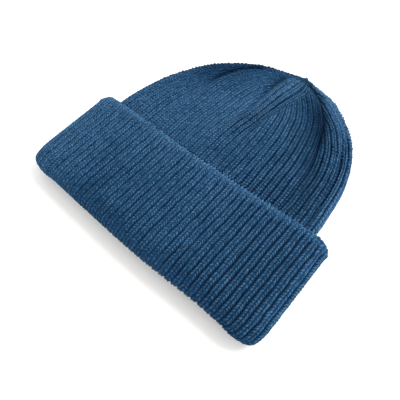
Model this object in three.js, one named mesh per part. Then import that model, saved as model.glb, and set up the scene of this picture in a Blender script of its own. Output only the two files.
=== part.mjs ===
import * as THREE from 'three';

// Wool hat lying flat, in millimetres
// X runs across the hat, Y from the rim to the tip, Z up from the surface it lies on

// Sizes of the hat
const LENGTH = 210;
const CUFF_WIDTH = 216;
const CUFF_DEPTH = 83;
const CROWN_WIDTH = 190;
const HEIGHT = 22.5;
const WALL = 3.6;
const LAYER_GAP = 0.6;
const PART_GAP = 0.45;

// Ribs of the knit
const RIBS = 80;
const RIBS_PER_QUARTER = RIBS / 4;
const STRIP_RIBS = 2;
const RIB_DEPTH = 1.1;
const LEAST_PITCH = 4.4;
const PITCH_BLEND = 1.2;
const RIDGE_FROM = 0.25;
const RIDGE_TO = 0.75;

// Drape of the lying hat
const FOLD_SHARE = 0.51;
const PRESS = 1.08;
const CUFF_SQUARE = 7;
const EDGE_BOW = 3.5;
const BACK_RIM_SET = 6;
const COURSE_CURVE = 0.9;
const LEFT_BULGE = 1.8;

// Rim pressed thinner, as a share of the height, over a length from the rim
const RIM_PRESS = 0.17;
const RIM_PRESS_RUN = 18;

// Sides of the cuff drawn in towards its corners, and over what length from the rim and from the edge
const RIM_DRAW_RIGHT = 6.6;
const RIM_DRAW_LEFT = 5;
const RIM_DRAW_RUN = 15;
const EDGE_DRAW = 1.6;
const EDGE_DRAW_RUN = 6;
const DRAW_ROUND = 0.98;

// Shapes of the edges
const EDGE_ROUND = 1.2;
const SCALLOP = 0.9;
const TURN_RADIUS = WALL + LAYER_GAP / 2;

// Numbers of steps
const RING_SAMPLES = 720;
const PROBE = 0.002;
const MERGE_STEPS = 10000;

// Colours of the wool
const WOOL_BLUE = 0x2f567c;
const WOOL_ROUGHNESS = 0.95;

// Corners of the cuff: how far an end falls back, as a share of the cuff's depth, and over what length, as a
// share of its half width
const EDGE_CORNER_RIGHT = { drop: 0.03, run: 0.08 };
const EDGE_CORNER_LEFT = { drop: 0.055, run: 0.102 };
const RIM_CORNER_RIGHT = { drop: 0.035, run: 0.12 };
const RIM_CORNER_LEFT = { drop: 0.062, run: 0.19 };

// Front rim set back from the straight line as a share of the cuff's depth, by share of the half width
const RIM_SET = [
  { at: -1.0, set: -0.002 },
  { at: -0.9, set: 0.012 },
  { at: -0.75, set: 0.023 },
  { at: -0.5, set: 0.013 },
  { at: 0.0, set: -0.005 },
  { at: 0.3, set: -0.003 },
  { at: 0.6, set: 0.009 },
  { at: 0.8, set: 0.008 },
  { at: 0.92, set: -0.004 },
  { at: 1.0, set: -0.014 },
];

// Outline of the dome from the cuff edge (0) to the tip (1), half width as a share of the crown's half width
const OUTLINE = [
  { up: 0.0, half: 1.005 },
  { up: 0.107, half: 0.995 },
  { up: 0.189, half: 0.98 },
  { up: 0.266, half: 0.964 },
  { up: 0.344, half: 0.941 },
  { up: 0.426, half: 0.908 },
  { up: 0.504, half: 0.865 },
  { up: 0.584, half: 0.808 },
  { up: 0.663, half: 0.738 },
  { up: 0.741, half: 0.641 },
  { up: 0.82, half: 0.517 },
  { up: 0.859, half: 0.447 },
  { up: 0.898, half: 0.37 },
  { up: 0.922, half: 0.3 },
  { up: 0.947, half: 0.205 },
  { up: 0.966, half: 0.14 },
  { up: 0.985, half: 0.075 },
  { up: 1.0, half: 0.0 },
];

// Cross-section of the dome: top and bottom as shares of the height, squareness of the ends, and the lean to the
// right as a share of the crown's half width
const DOME = [
  { up: 0.0, top: 0.8, bottom: 0.205, square: 5.5, lean: -0.005 },
  { up: 0.08, top: 0.87, bottom: 0.13, square: 5.0, lean: -0.002 },
  { up: 0.2, top: 0.94, bottom: 0.02, square: 4.4, lean: 0.004 },
  { up: 0.4, top: 0.97, bottom: 0.0, square: 3.8, lean: 0.021 },
  { up: 0.55, top: 0.95, bottom: 0.0, square: 3.5, lean: 0.036 },
  { up: 0.7, top: 0.85, bottom: 0.0, square: 3.1, lean: 0.046 },
  { up: 0.82, top: 0.69, bottom: 0.0, square: 2.8, lean: 0.053 },
  { up: 0.92, top: 0.48, bottom: 0.0, square: 2.5, lean: 0.063 },
  { up: 1.0, top: 0.28, bottom: 0.0, square: 2.2, lean: 0.072 },
];

// Decrease lines: share of the quarter's arc at each height, and the front strip in shares of the crown's half
// width
const DECREASES = [
  { up: 0.0, right: 0.673, left: 0.53, back: 0.6, strip: 0.101, shift: 0.005 },
  { up: 0.3, right: 0.661, left: 0.535, back: 0.6, strip: 0.096, shift: 0.01 },
  { up: 0.44, right: 0.647, left: 0.594, back: 0.6, strip: 0.092, shift: 0.025 },
  { up: 0.55, right: 0.648, left: 0.655, back: 0.61, strip: 0.1, shift: 0.033 },
  { up: 0.65, right: 0.65, left: 0.716, back: 0.62, strip: 0.115, shift: 0.035 },
  { up: 0.8, right: 0.62, left: 0.8, back: 0.64, strip: 0.138, shift: 0.033 },
  { up: 0.9, right: 0.57, left: 0.82, back: 0.66, strip: 0.1, shift: 0.018 },
  { up: 1.0, right: 0.6, left: 0.8, back: 0.7, strip: 0.0, shift: 0.0 },
];

// Ribs between the strip and the crease of each quarter
const CREASE_RIBS = { right: 11, left: 9, back: 10 };

// Dents and folds of the crown's upper side: depth as a share of the hat's height, spread to each side as a
// share of the crown's half width, line in shares of the crown's half width and of the dome's length
const DENTS = [
  {
    name: 'right crease', depth: 0.09, spread: 0.032,
    line: [
      [0.1, 0.96], [0.21, 0.9], [0.32, 0.84], [0.43, 0.745], [0.515, 0.65], [0.575, 0.55], [0.61, 0.48],
      [0.635, 0.42],
    ],
  },
  {
    name: 'slope beside the right crease', depth: 0.07, spread: 0.095,
    line: [[0.3, 0.8], [0.44, 0.68], [0.53, 0.55], [0.66, 0.36], [0.77, 0.22], [0.84, 0.08]],
  },
  {
    name: 'groove inside the right edge roll', depth: 0.107, spread: 0.034,
    line: [[0.72, 0.67], [0.777, 0.585], [0.841, 0.386], [0.886, 0.238], [0.91, 0.117], [0.935, 0.0]],
  },
  {
    name: 'left crease', depth: 0.07, spread: 0.032,
    line: [
      [-0.26, 0.85], [-0.333, 0.81], [-0.413, 0.717], [-0.45, 0.652], [-0.484, 0.568], [-0.5, 0.48],
      [-0.505, 0.4],
    ],
  },
  {
    name: 'groove along the strip', depth: 0.053, spread: 0.021,
    line: [[-0.05, 0.82], [-0.04, 0.65], [-0.03, 0.52], [-0.04, 0.4]],
  },
  {
    name: 'hollow of the front', depth: 0.053, spread: 0.168,
    line: [[0.15, 0.12], [0.2, 0.3]],
  },
];

// Rows of the crown's outer side and of its inner side
const DOME_ROWS = [0, 0.07, 0.17, 0.28, 0.38, 0.47, 0.56, 0.64, 0.72, 0.79, 0.85, 0.905, 0.95, 0.985];
const LINING_ROWS = [0.82, 0.74, 0.62, 0.48, 0.34, 0.18, 0.04];
const LINING_TIP = 0.89;
const BAND_ROWS = [0, 0.12, 0.55];
const BAND_TOP_ROW = 0.92;
const NARROWING_FROM = 0.5;
const CUFF_ROWS = [0, 0.12, 0.55];

// Number between two others by share
function mix(from, to, share) {
  return from + (to - from) * share;
}

// Smooth step from 0 to 1 between two bounds
function ease(from, to, value) {
  return THREE.MathUtils.smoothstep(value, from, to);
}

// Smooth value of a named column at a place along a table
function along(table, key, column, place) {
  const last = table.length - 1;
  let row = 0;
  while (row < last - 1 && place > table[row + 1][key]) row += 1;
  const from = table[row];
  const to = table[row + 1];
  const before = table[Math.max(row - 1, 0)];
  const after = table[Math.min(row + 2, last)];
  const span = to[key] - from[key];
  const share = THREE.MathUtils.clamp((place - from[key]) / span, 0, 1);
  const slopeFrom = (to[column] - before[column]) / (to[key] - before[key]);
  const slopeTo = (after[column] - from[column]) / (after[key] - from[key]);
  const square = share * share;
  const cube = square * share;
  return (2 * cube - 3 * square + 1) * from[column] + (cube - 2 * square + share) * span * slopeFrom
    + (3 * square - 2 * cube) * to[column] + (cube - square) * span * slopeTo;
}

// Rounding of a corner: how far the edge falls back near the end of a half width
function cornerDrop(distance, halfWidth, corner) {
  const run = corner.run * CUFF_WIDTH / 2;
  const into = Math.max(0, (distance - halfWidth + run) / run);
  return corner.drop * CUFF_DEPTH * into * into;
}

// Cross-section of a flattened tube: place across from -1 to 1 and height
function section(angle, top, bottom, square) {
  const across = Math.sin(angle);
  const rise = Math.sqrt(Math.max(0, 1 - Math.abs(across) ** square));
  const fold = mix(bottom, top, FOLD_SHARE);
  const height = Math.cos(angle) > 0
    ? mix(fold, top, rise)
    : mix(fold, bottom, Math.min(1, PRESS * rise));
  return { across, height };
}

// Share of the drawing in of a side at a distance from the end of the cuff
function drawnIn(distance, run) {
  const near = Math.max(0, 1 - Math.max(0, distance) / run);
  return 1 - Math.sqrt(1 - DRAW_ROUND * near * near);
}

// Point of the cuff at a depth under its outer side, a share of its depth up, and an offset from the rim
function cuffPoint(depth, up, offset, angle) {
  const { across, height } = section(angle, HEIGHT - depth, depth, CUFF_SQUARE);
  const half = CUFF_WIDTH / 2 - depth;
  const right = across > 0;
  const distance = half * Math.abs(across);
  const frontSet = CUFF_DEPTH * along(RIM_SET, 'at', 'set', across);
  const set = Math.cos(angle) > 0 ? frontSet : BACK_RIM_SET * (1 - across ** 6);
  const rim = set + cornerDrop(distance, half, right ? RIM_CORNER_RIGHT : RIM_CORNER_LEFT);
  const edgeDrop = cornerDrop(distance, half, right ? EDGE_CORNER_RIGHT : EDGE_CORNER_LEFT);
  const edge = CUFF_DEPTH - EDGE_BOW * (1 - across * across) - edgeDrop;
  const y = mix(rim + offset, edge, up);
  const rimDraw = (right ? RIM_DRAW_RIGHT : RIM_DRAW_LEFT) * drawnIn(y - rim, RIM_DRAW_RUN);
  const edgeDraw = EDGE_DRAW * drawnIn(edge - y, EDGE_DRAW_RUN);
  const bulge = right ? 0 : LEFT_BULGE * across ** 4;
  const x = half * across - Math.sign(across) * (rimDraw + edgeDraw) * across ** 8 - bulge;
  const pressed = Math.max(0, 1 - Math.max(0, y - rim) / RIM_PRESS_RUN);
  return new THREE.Vector3(x, y, height * (1 - RIM_PRESS * pressed * pressed));
}

// Half outline of the dome from the cuff edge to the tip, as distance across and distance up
const domeLength = LENGTH - CUFF_DEPTH;
const outlinePoints = OUTLINE.map(({ up, half }) => new THREE.Vector2(half * CROWN_WIDTH / 2, up * domeLength));
const outlineRun = [0];
outlinePoints.slice(1).forEach((point, index) => {
  outlineRun.push(outlineRun[index] + point.distanceTo(outlinePoints[index]));
});

// Point of the outline at a share of its own length
function outlineAt(share) {
  const last = outlineRun.length - 1;
  const wanted = share * outlineRun[last];
  let row = 0;
  while (row < last - 1 && wanted > outlineRun[row + 1]) row += 1;
  const step = (wanted - outlineRun[row]) / (outlineRun[row + 1] - outlineRun[row]);
  return outlinePoints[row].clone().lerp(outlinePoints[row + 1], step);
}

// Distance from a point to the nearest place of a line of points
function distanceToLine(x, y, line) {
  let nearest = Infinity;
  for (let index = 1; index < line.length; index += 1) {
    const [fromX, fromY] = line[index - 1];
    const [toX, toY] = line[index];
    const alongX = toX - fromX;
    const alongY = toY - fromY;
    const share = THREE.MathUtils.clamp(
      ((x - fromX) * alongX + (y - fromY) * alongY) / (alongX * alongX + alongY * alongY), 0, 1);
    nearest = Math.min(nearest, Math.hypot(x - fromX - share * alongX, y - fromY - share * alongY));
  }
  return nearest;
}

// Depth of all dents at a place of the crown's upper side
const dentLines = DENTS.map((dent) => ({
  ...dent,
  line: dent.line.map(([x, up]) => [x * CROWN_WIDTH / 2, CUFF_DEPTH + up * domeLength]),
}));
function dentAt(x, y) {
  return dentLines.reduce((total, dent) => {
    const distance = distanceToLine(x, y, dent.line) / (dent.spread * CROWN_WIDTH / 2);
    return total + dent.depth * HEIGHT * Math.exp(-distance * distance);
  }, 0);
}

// Point of the dome at a share up from the cuff edge and a depth under its outer side
function domePoint(up, depth, angle) {
  const outline = outlineAt(up);
  const slope = outlineAt(Math.min(1, up + PROBE)).sub(outlineAt(Math.max(0, up - PROBE)));
  slope.normalize();
  const half = Math.max(0, outline.x - depth * slope.y);
  const sideY = outline.y + depth * slope.x;
  const middleY = up * domeLength;
  const top = along(DOME, 'up', 'top', up) * HEIGHT - depth;
  const bottom = Math.max(0, along(DOME, 'up', 'bottom', up)) * HEIGHT + depth;
  const { across, height } = section(angle, top, bottom, along(DOME, 'up', 'square', up));
  const bend = (1 - Math.sqrt(1 - COURSE_CURVE * across * across)) / (1 - Math.sqrt(1 - COURSE_CURVE));
  const y = mix(middleY, sideY, bend);
  const lean = along(DOME, 'up', 'lean', THREE.MathUtils.clamp(y / domeLength, 0, 1)) * CROWN_WIDTH / 2;
  return new THREE.Vector3(lean + half * across, CUFF_DEPTH + y, height);
}

// Point of the crown: course runs from -1 at the rim over 0 at the cuff edge to 1 at the tip
function crownPoint(course, depth, angle) {
  const dome = domePoint(Math.max(0, course), depth, angle);
  let point = dome;
  if (course < 0) {
    const band = cuffPoint(WALL + LAYER_GAP + depth, course + 1, TURN_RADIUS + PART_GAP, angle);
    point = band.lerp(dome, ease(NARROWING_FROM, 1, course + 1));
  }
  const upper = Math.max(0, Math.cos(angle));
  point.z -= dentAt(point.x, point.y) * ease(0, 0.5, upper) * ease(-0.15, 0.05, course);
  return point;
}

// Arc lengths round a closed ring of points
function measureRing(pointAt) {
  const lengths = [0];
  let before = pointAt(0);
  for (let step = 1; step <= RING_SAMPLES; step += 1) {
    const here = pointAt(2 * Math.PI * step / RING_SAMPLES);
    lengths.push(lengths[step - 1] + here.distanceTo(before));
    before = here;
  }
  return lengths;
}

// Angle of the place at an arc length round a measured ring
function angleAt(lengths, length) {
  const total = lengths[RING_SAMPLES];
  const wanted = THREE.MathUtils.euclideanModulo(length, total);
  let low = 0;
  let high = RING_SAMPLES;
  while (high - low > 1) {
    const middle = Math.floor((low + high) / 2);
    if (lengths[middle] <= wanted) low = middle;
    else high = middle;
  }
  const share = (wanted - lengths[low]) / (lengths[high] - lengths[low]);
  return 2 * Math.PI * (low + share) / RING_SAMPLES;
}

// Point moved against the outward direction of a surface given by course and angle
function sunkPoint(surface, course, angle, sink) {
  const point = surface(course, angle);
  if (sink === 0) return point;
  const alongAngle = surface(course, angle + PROBE).sub(surface(course, angle - PROBE));
  const alongCourse = surface(course + PROBE, angle).sub(surface(course - PROBE, angle));
  return point.addScaledVector(alongAngle.cross(alongCourse).normalize(), -sink);
}

// Pitch of ribs that narrows smoothly to the least one
function softPitch(pitch) {
  return (pitch + LEAST_PITCH + Math.hypot(pitch - LEAST_PITCH, PITCH_BLEND)) / 2;
}

// Columns of one quarter of the crown: distance from the centre line and height over the groove
// Ribs beside the crease keep their distance from it and end at the strip, those of the side end at the crease
function quarterColumns(up, length, baseLength, creaseKey, strip) {
  const crease = along(DECREASES, 'up', creaseKey, up) * length;
  const stripEdge = Math.min(strip, crease);
  const creaseRibs = CREASE_RIBS[creaseKey];
  const sideRibs = RIBS_PER_QUARTER - STRIP_RIBS - creaseRibs;
  const creasePitch = softPitch((crease - stripEdge) / creaseRibs);
  const sidePitch = softPitch((length - crease) / sideRibs);
  const grooves = [];
  for (let rib = 0; rib < STRIP_RIBS; rib += 1) grooves.push(stripEdge * rib / STRIP_RIBS);
  for (let rib = creaseRibs; rib > 0; rib -= 1) grooves.push(Math.max(stripEdge, crease - rib * creasePitch));
  for (let rib = sideRibs; rib > 0; rib -= 1) grooves.push(Math.max(crease, length - rib * sidePitch));
  grooves.push(length);
  const basePitch = baseLength / RIBS_PER_QUARTER;
  const columns = [];
  for (let rib = 0; rib < RIBS_PER_QUARTER; rib += 1) {
    const width = grooves[rib + 1] - grooves[rib];
    const rise = RIB_DEPTH * Math.min(1, 2 * width / basePitch);
    columns.push({ place: grooves[rib], rise: 0 });
    columns.push({ place: mix(grooves[rib], grooves[rib + 1], RIDGE_FROM), rise });
    columns.push({ place: mix(grooves[rib], grooves[rib + 1], RIDGE_TO), rise });
  }
  columns.push({ place: length, rise: 0 });
  return columns;
}

// Outer ring of the crown with all its rib columns
const baseRing = measureRing((angle) => crownPoint(0, 0, angle));
function crownRing(course) {
  const up = Math.max(0, course);
  const lengths = measureRing((angle) => crownPoint(course, 0, angle));
  const quarter = RING_SAMPLES / 4;
  const total = lengths[RING_SAMPLES];
  const shift = along(DECREASES, 'up', 'shift', up) * CROWN_WIDTH / 2;
  const strip = along(DECREASES, 'up', 'strip', up) * CROWN_WIDTH / 2;
  const right = lengths[quarter];
  const back = lengths[2 * quarter];
  const left = lengths[3 * quarter];
  const base = baseRing[RING_SAMPLES] / 4;
  const frontRight = quarterColumns(up, right - shift, base, 'right', strip);
  const backRight = quarterColumns(up, back - right, base, 'back', strip);
  const backLeft = quarterColumns(up, left - back, base, 'back', strip);
  const frontLeft = quarterColumns(up, total + shift - left, base, 'left', strip);
  const columns = [
    ...frontRight.slice(0, -1).map(({ place, rise }) => ({ place: shift + place, rise })),
    ...backRight.slice(1).reverse().map(({ place, rise }) => ({ place: back - place, rise })),
    ...backLeft.slice(0, -1).map(({ place, rise }) => ({ place: back + place, rise })),
    ...frontLeft.slice(1).reverse().map(({ place, rise }) => ({ place: total + shift - place, rise })),
  ];
  const surface = (at, angle) => crownPoint(at, 0, angle);
  return columns.map(({ place, rise }) => sunkPoint(surface, course, angleAt(lengths, place), RIB_DEPTH - rise));
}

// Angles of the cuff's rib columns, evenly spaced along its cross-section
const cuffLengths = measureRing((angle) => cuffPoint(0, 0.5, 0, angle));
const ribShares = [0, RIDGE_FROM, RIDGE_TO];
const ribColumns = [];
for (let rib = 0; rib < RIBS; rib += 1) {
  ribShares.forEach((share, index) => {
    const angle = angleAt(cuffLengths, cuffLengths[RING_SAMPLES] * (rib + share) / RIBS);
    ribColumns.push({ angle, groove: index === 0 });
  });
}
const plainColumns = ribColumns.filter((column) => column.groove);

// Ribbed ring of the cuff, sunk at its grooves
function cuffRibRing(depth, up, offset) {
  const surface = (at, angle) => cuffPoint(depth, at, offset, angle);
  return ribColumns.map(({ angle, groove }) => sunkPoint(surface, up, angle, groove ? RIB_DEPTH : 0));
}

// Ribbed ring on the round of the rim fold, turned from the outer side towards the inside
function foldRibRing(turn) {
  const surface = (at, angle) => cuffPoint(
    TURN_RADIUS * (1 - Math.cos(at)), 0, TURN_RADIUS * (1 - Math.sin(at)), angle);
  return ribColumns.map(({ angle, groove }) => {
    const point = surface(turn, angle);
    if (!groove) return point;
    const alongAngle = surface(turn, angle + PROBE).sub(surface(turn, angle - PROBE));
    const alongTurn = surface(turn - PROBE, angle).sub(surface(turn + PROBE, angle));
    return point.addScaledVector(alongAngle.cross(alongTurn).normalize(), -RIB_DEPTH);
  });
}

// Plain ring of the cuff or of the turned fold
function cuffPlainRing(depth, up, offset) {
  return plainColumns.map(({ angle }) => cuffPoint(depth, up, offset, angle));
}
function foldPlainRing(radius, turn) {
  const offset = TURN_RADIUS - radius * Math.sin(turn);
  return cuffPlainRing(TURN_RADIUS - radius * Math.cos(turn), 0, offset);
}

// Plain ring of the crown
function crownPlainRing(course, depth) {
  return plainColumns.map(({ angle }) => crownPoint(course, depth, angle));
}

// Closed skin over a row of rings; a ring has one point or three for each rib
function skin(rings) {
  const points = [];
  const known = new Map();
  const numberOf = (point) => {
    const key = [point.x, point.y, point.z].map((value) => Math.round(value * MERGE_STEPS)).join(' ');
    if (!known.has(key)) {
      known.set(key, points.length);
      points.push(point);
    }
    return known.get(key);
  };
  const numbered = rings.map((ring) => ring.map(numberOf));
  const faces = [];
  const addFace = (a, b, c) => {
    if (a !== b && b !== c && c !== a) faces.push(a, b, c);
  };
  for (let row = 1; row < numbered.length; row += 1) {
    const lower = numbered[row - 1];
    const upper = numbered[row];
    const count = Math.min(lower.length, upper.length);
    const lowerFine = lower.length / count;
    const upperFine = upper.length / count;
    for (let rib = 0; rib < count; rib += 1) {
      const low = (step) => lower[(rib * lowerFine + step) % lower.length];
      const high = (step) => upper[(rib * upperFine + step) % upper.length];
      if (lowerFine === upperFine) {
        const rising = points[low(0)].distanceTo(points[high(1)]);
        const falling = points[low(1)].distanceTo(points[high(0)]);
        addFace(low(0), low(1), rising < falling ? high(1) : high(0));
        addFace(rising < falling ? low(0) : low(1), high(1), high(0));
      } else if (upperFine > lowerFine) {
        addFace(low(0), high(1), high(0));
        addFace(low(0), low(1), high(1));
        addFace(low(1), high(2), high(1));
        addFace(low(1), high(3), high(2));
      } else {
        addFace(low(0), low(1), high(0));
        addFace(low(1), high(1), high(0));
        addFace(low(1), low(2), high(1));
        addFace(low(2), low(3), high(1));
      }
    }
  }
  const geometry = new THREE.BufferGeometry();
  geometry.setFromPoints(points);
  geometry.setIndex(faces);
  return geometry;
}

// Cuff: outer side from the rim fold to the bind-off edge, then down its inner side and round the fold
const quarterTurn = Math.PI / 2;
const edgeRing = cuffRibRing(WALL / 2, 1, TURN_RADIUS);
edgeRing.forEach((point, index) => {
  if (ribColumns[index].groove) point.y -= SCALLOP;
});
const edgeShare = 1 - EDGE_ROUND / CUFF_DEPTH;
const cuffRings = [
  foldRibRing(quarterTurn),
  foldRibRing(quarterTurn / 2),
  ...CUFF_ROWS.map((up) => cuffRibRing(0, up, TURN_RADIUS)),
  cuffRibRing(0, edgeShare, TURN_RADIUS),
  edgeRing,
  cuffPlainRing(WALL, edgeShare, TURN_RADIUS),
  ...CUFF_ROWS.toReversed().map((up) => cuffPlainRing(WALL, up, TURN_RADIUS)),
  foldPlainRing(LAYER_GAP / 2, quarterTurn),
  foldPlainRing(LAYER_GAP / 2, 2 * quarterTurn),
  foldPlainRing(TURN_RADIUS, 2 * quarterTurn),
  foldPlainRing(TURN_RADIUS, 1.5 * quarterTurn),
  foldRibRing(quarterTurn),
];

// Crown: inner side from its closed end to the rim, then the outer side up to the tip
const tipPoint = crownPoint(1, 0, 0);
tipPoint.z = HEIGHT * along(DOME, 'up', 'top', 1) / 2;
const liningTip = crownPoint(LINING_TIP, WALL, 0);
liningTip.z = HEIGHT * along(DOME, 'up', 'top', LINING_TIP) / 2;
const crownRings = [
  plainColumns.map(() => liningTip),
  ...LINING_ROWS.map((up) => crownPlainRing(up, WALL)),
  ...BAND_ROWS.toReversed().map((up) => crownPlainRing(up - 1, WALL)),
  ...BAND_ROWS.map((up) => crownPlainRing(up - 1, 0)),
  crownRing(BAND_TOP_ROW - 1),
  ...DOME_ROWS.map((up) => crownRing(up)),
  ribColumns.map(() => tipPoint),
];

// Mesh of the hat with its own wool
function woolMesh(name, rings) {
  const geometry = skin(rings);
  geometry.computeVertexNormals();
  const wool = new THREE.MeshStandardMaterial({ color: WOOL_BLUE, roughness: WOOL_ROUGHNESS, metalness: 0 });
  const mesh = new THREE.Mesh(geometry, wool);
  mesh.name = name;
  return mesh;
}

const group = new THREE.Group();
group.name = 'wool_hat';
group.add(woolMesh('crown', crownRings));
group.add(woolMesh('cuff', cuffRings));

// The hat is centred over the surface it lies on
const middle = new THREE.Box3().setFromObject(group).getCenter(new THREE.Vector3());
group.children.forEach((mesh) => mesh.geometry.translate(-middle.x, -middle.y, 0));

export default group;
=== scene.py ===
import math

import bpy
import numpy as np
from mathutils import Matrix, Vector


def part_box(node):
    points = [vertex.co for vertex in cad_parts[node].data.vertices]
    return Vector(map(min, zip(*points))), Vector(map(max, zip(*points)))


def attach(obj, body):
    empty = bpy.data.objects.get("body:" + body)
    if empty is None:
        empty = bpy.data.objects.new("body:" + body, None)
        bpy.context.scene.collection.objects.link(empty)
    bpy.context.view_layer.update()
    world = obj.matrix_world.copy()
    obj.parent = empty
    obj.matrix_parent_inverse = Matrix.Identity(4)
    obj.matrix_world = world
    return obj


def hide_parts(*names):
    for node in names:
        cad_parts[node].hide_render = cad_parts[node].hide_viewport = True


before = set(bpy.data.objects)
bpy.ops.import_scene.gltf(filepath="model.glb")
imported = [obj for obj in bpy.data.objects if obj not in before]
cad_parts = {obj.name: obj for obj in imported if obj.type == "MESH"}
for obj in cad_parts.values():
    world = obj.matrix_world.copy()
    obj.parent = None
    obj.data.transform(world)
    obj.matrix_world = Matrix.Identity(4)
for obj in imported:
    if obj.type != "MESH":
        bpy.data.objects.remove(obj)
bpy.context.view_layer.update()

# Ribbed wool hat lying flat. Shapes are worked out in millimetres, with the width along X, the rim at Y 0
# and the height along Z, and turned into metres when a mesh is made
MM = 0.001

# Sizes of the hat
LENGTH = 210.0
CUFF_WIDTH = 216.0
CUFF_DEPTH = 83.0
CROWN_WIDTH = 190.0
HEIGHT = 22.5
WALL = 3.6
LAYER_GAP = 0.6
TURN_RADIUS = WALL + LAYER_GAP / 2
DOME_LENGTH = LENGTH - CUFF_DEPTH
CUFF_HALF = CUFF_WIDTH / 2
CROWN_HALF = CROWN_WIDTH / 2
SHIFT = np.array([0.0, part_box("crown")[1][1] / MM - LENGTH, 0.0])

# Cross-section of the lying tube: height of its side folds, press of the underside, squareness at the
# cuff, and how much the courses of the dome bend down towards the sides
FOLD_SHARE = 0.51
PRESS = 1.08
CUFF_SQUARE = 7.0
COURSE_CURVE = 0.9

# Edge and rim of the cuff: bow of the edge, set of the under layer's rim, and corners as their drop in
# shares of the cuff's depth and their run in shares of half its width
EDGE_BOW = 3.5
BACK_RIM_SET = 6.0
BACK_RIM_POWER = 6
EDGE_CORNER_RIGHT = (0.03, 0.08)
EDGE_CORNER_LEFT = (0.055, 0.102)
RIM_CORNER_RIGHT = (0.035, 0.12)
RIM_CORNER_LEFT = (0.062, 0.19)

# Rim: how much thinner the hat is there and over what length
RIM_PRESS = 0.17
RIM_PRESS_RUN = 18.0

# Sides of the cuff drawn in towards its corners, and the bulge of the left side
RIM_DRAW_RIGHT = 6.6
RIM_DRAW_LEFT = 5.0
RIM_DRAW_RUN = 15.0
EDGE_DRAW = 1.6
EDGE_DRAW_RUN = 6.0
DRAW_ROUND = 0.98
DRAW_POWER = 8
LEFT_BULGE = 1.8
BULGE_POWER = 4

# Place across from -1 to 1, set of the front rim as a share of the cuff's depth
RIM_SET = np.array([
    (-1.0, -0.002), (-0.9, 0.012), (-0.75, 0.023), (-0.5, 0.013), (0.0, -0.005),
    (0.3, -0.003), (0.6, 0.009), (0.8, 0.008), (0.92, -0.004), (1.0, -0.014),
])

# Height up the dome, half width as a share of the crown's
OUTLINE = np.array([
    (0.0, 1.005), (0.107, 0.995), (0.189, 0.98), (0.266, 0.964), (0.344, 0.941), (0.426, 0.908),
    (0.504, 0.865), (0.584, 0.808), (0.663, 0.738), (0.741, 0.641), (0.82, 0.517), (0.859, 0.447),
    (0.898, 0.37), (0.922, 0.3), (0.947, 0.205), (0.966, 0.14), (0.985, 0.075), (1.0, 0.0),
])

# Height up the dome, top, bottom and squareness of the cross-section, and its lean to the right
DOME = np.array([
    (0.0, 0.8, 0.205, 5.5, -0.005), (0.08, 0.87, 0.13, 5.0, -0.002), (0.2, 0.94, 0.02, 4.4, 0.004),
    (0.4, 0.97, 0.0, 3.8, 0.021), (0.55, 0.95, 0.0, 3.5, 0.036), (0.7, 0.85, 0.0, 3.1, 0.046),
    (0.82, 0.69, 0.0, 2.8, 0.053), (0.92, 0.48, 0.0, 2.5, 0.063), (1.0, 0.28, 0.0, 2.2, 0.072),
])
DOME_TOP, DOME_BOTTOM, DOME_SQUARE, DOME_LEAN = 1, 2, 3, 4

# Share of the band's length, behind the cuff, over which it passes into the dome
BAND_FADE = (0.5, 1.0)

# Height up the dome, decrease lines right, left and back, half width of the strip, shift of the strip
DECREASES = np.array([
    (0.0, 0.673, 0.53, 0.6, 0.101, 0.005), (0.3, 0.661, 0.535, 0.6, 0.096, 0.01),
    (0.44, 0.647, 0.594, 0.6, 0.092, 0.025), (0.55, 0.648, 0.655, 0.61, 0.1, 0.033),
    (0.65, 0.65, 0.716, 0.62, 0.115, 0.035), (0.8, 0.62, 0.8, 0.64, 0.138, 0.033),
    (0.9, 0.57, 0.82, 0.66, 0.1, 0.018), (1.0, 0.6, 0.8, 0.7, 0.0, 0.0),
])
RIGHT, LEFT, BACK, STRIP, STRIP_SHIFT = 1, 2, 3, 4, 5

# Dents of the upper side: depth as a share of the height, spread as a share of the crown's half width,
# shares of the line over which it fades in and out, and the line in shares of the crown's half width and of
# the dome's length. All dents fade towards the sides and towards the cuff's edge
DENTS = [
    (0.14, 0.027, 0.1, 0.35, [(0.1, 0.96), (0.21, 0.9), (0.32, 0.84), (0.43, 0.745), (0.515, 0.65),
                              (0.575, 0.55), (0.61, 0.48), (0.635, 0.42), (0.65, 0.34)]),
    (0.1, 0.095, 0.2, 0.1, [(0.3, 0.8), (0.44, 0.68), (0.53, 0.55), (0.66, 0.36), (0.77, 0.22),
                            (0.84, 0.0)]),
    (0.14, 0.032, 0.3, 0.02, [(0.68, 0.72), (0.72, 0.67), (0.777, 0.585), (0.841, 0.386), (0.886, 0.238),
                              (0.91, 0.117), (0.935, 0.0)]),
    (0.12, 0.03, 0.2, 0.5, [(-0.2, 0.88), (-0.26, 0.85), (-0.333, 0.81), (-0.413, 0.717), (-0.45, 0.652),
                            (-0.484, 0.568), (-0.5, 0.48), (-0.505, 0.36)]),
    (0.1, 0.021, 0.15, 0.5, [(-0.04, 0.9), (-0.055, 0.84), (-0.045, 0.65), (-0.035, 0.52), (-0.04, 0.35)]),
    (-0.09, 0.07, 0.2, 0.5, [(0.035, 0.95), (0.085, 0.8), (0.07, 0.65), (0.045, 0.5), (0.03, 0.35)]),
    (0.053, 0.168, 0.0, 0.0, [(0.15, 0.12), (0.2, 0.3)]),
]
DENT_STEPS = 16
DENT_SIDE_FADE = (0.0, 0.5)
DENT_EDGE_FADE = (-0.15, 0.05)

# Ribs: number round the hat, in a quarter, in half the strip and from the strip to each decrease line
RIBS = 80
QUARTER = RIBS // 4
STRIP_RIBS = 2
CREASE_RIBS = {RIGHT: 11, LEFT: 9, BACK: 10}

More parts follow.
